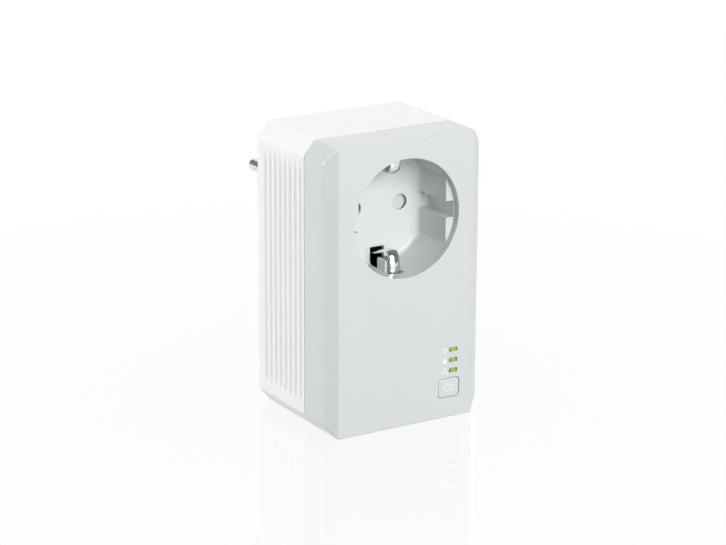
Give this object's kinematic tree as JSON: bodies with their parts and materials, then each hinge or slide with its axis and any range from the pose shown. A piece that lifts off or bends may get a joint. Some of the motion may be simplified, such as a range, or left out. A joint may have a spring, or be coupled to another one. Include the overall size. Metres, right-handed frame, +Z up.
{
  "type": "powerline adapter",
  "caption": "Plug-in powerline network adapter with a pass-through earthed socket in its face, a round earthed plug on its back, status lights, a push button and a network jack.",
  "frame": {"origin": "on the base plane, under the centre of the whole object's box, plug pins included", "axes": "+Z up along the body's height, -Y out of the front face with the socket, +X to the right seen from the front"},
  "size_m": [0.064, 0.0936, 0.105],
  "materials": {
    "cover_plastic": "glossy light-grey moulded ABS",
    "housing_plastic": "satin white moulded ABS",
    "plug_plastic": "satin white moulded nylon",
    "button_plastic": "glossy light-grey moulded ABS",
    "shutter_plastic": "satin light-grey moulded nylon",
    "inner_plastic": "plain off-white moulding",
    "dark_plastic": "black moulding",
    "green_light": "clear acrylic lit green from behind",
    "clear_led": "cast epoxy lens",
    "nickel": "bright nickel plate on brass",
    "contact_brass": "bright rolled brass strip",
    "bar_copper": "rolled copper strip",
    "screw_steel": "zinc-plated steel",
    "spring_steel": "bright spring wire",
    "ferrite": "sintered dark ferrite",
    "board_laminate": "green solder mask on glass laminate",
    "chip_epoxy": "black moulding compound",
    "aluminium": "extruded natural aluminium",
    "capacitor_sleeve": "shrink sleeve over an aluminium can",
    "yellow_box": "yellow film-capacitor box",
    "winding_tape": "polyester winding tape over a ferrite core",
    "blue_coating": "dipped epoxy coating",
    "fuse_glass": "clear tube",
    "ribbon_jacket": "grey ribbon jacket"
  },
  "bodies": {
    "root": {"front_cover": "cover_plastic", "rear_housing": "housing_plastic", "case_screw_1": "screw_steel", "case_screw_2": "screw_steel", "case_screw_3": "screw_steel", "case_screw_4": "screw_steel", "socket_well": "cover_plastic", "shutter_spring": "spring_steel", "contact_carrier": "inner_plastic", "contact_sleeve_left": "contact_brass", "line_bar_left": "bar_copper", "noise_core_left": "ferrite", "contact_sleeve_right": "contact_brass", "line_bar_right": "bar_copper", "noise_core_right": "ferrite", "earth_bar": "contact_brass", "plug_body": "plug_plastic", "plug_pin_left": "nickel", "plug_pin_right": "nickel", "plug_earth_strip_lower": "nickel", "plug_earth_strip_upper": "nickel", "tact_switch": "dark_plastic", "light_guide_power": "green_light", "status_led_power": "clear_led", "light_guide_powerline": "green_light", "status_led_powerline": "clear_led", "light_guide_ethernet": "green_light", "status_led_ethernet": "clear_led", "modem_board": "board_laminate", "powerline_chip": "chip_epoxy", "heat_sink": "aluminium", "ethernet_chip": "chip_epoxy", "memory_chip": "chip_epoxy", "crystal": "screw_steel", "coupling_transformer": "ferrite", "ethernet_magnetics": "chip_epoxy", "jack_shield": "nickel", "ethernet_jack": "dark_plastic", "jack_contacts": "contact_brass", "modem_board_screw_1": "screw_steel", "modem_board_screw_2": "screw_steel", "power_board": "board_laminate", "power_transformer": "winding_tape", "bulk_capacitor_1": "capacitor_sleeve", "bulk_capacitor_2": "capacitor_sleeve", "x_capacitor": "yellow_box", "filter_choke": "ferrite", "varistor": "blue_coating", "fuse": "fuse_glass", "rectifier": "chip_epoxy", "power_chip": "chip_epoxy", "board_ribbon": "ribbon_jacket", "power_board_screw_1": "screw_steel", "power_board_screw_2": "screw_steel"},
    "button": {"pair_button": "button_plastic"},
    "plunger": {"switch_plunger": "inner_plastic"},
    "shutter": {"socket_shutter": "shutter_plastic"},
    "earth_clip_upper": {"socket_earth_clip_upper": "nickel"},
    "earth_clip_lower": {"socket_earth_clip_lower": "nickel"}
  },
  "joints": [
    {"name": "button_press", "type": "slide", "parent": "root", "child": "button", "axis": [0, 1, 0], "range_m": [0, 0.0005], "stiffness_N_per_m": 60},
    {"name": "plunger_press", "type": "slide", "parent": "root", "child": "plunger", "axis": [0, 1, 0], "range_m": [0, 0.0005]},
    {"name": "shutter_turn", "type": "hinge", "parent": "root", "child": "shutter", "pos_m": [0, -0.02575, 0.0765], "axis": [0, 1, 0], "range_deg": [0, 42], "stiffness_Nm_per_rad": 0.002},
    {"name": "upper_clip_flex", "type": "hinge", "parent": "root", "child": "earth_clip_upper", "pos_m": [0, -0.01925, 0.0938], "axis": [-1, 0, 0], "range_deg": [0, 6], "stiffness_Nm_per_rad": 0.02},
    {"name": "lower_clip_flex", "type": "hinge", "parent": "root", "child": "earth_clip_lower", "pos_m": [0, -0.01925, 0.0592], "axis": [1, 0, 0], "range_deg": [0, 6], "stiffness_Nm_per_rad": 0.02}
  ],
  "couplings": [
    {"joint": "plunger_press", "follows": "button_press", "ratio": 1}
  ]
}
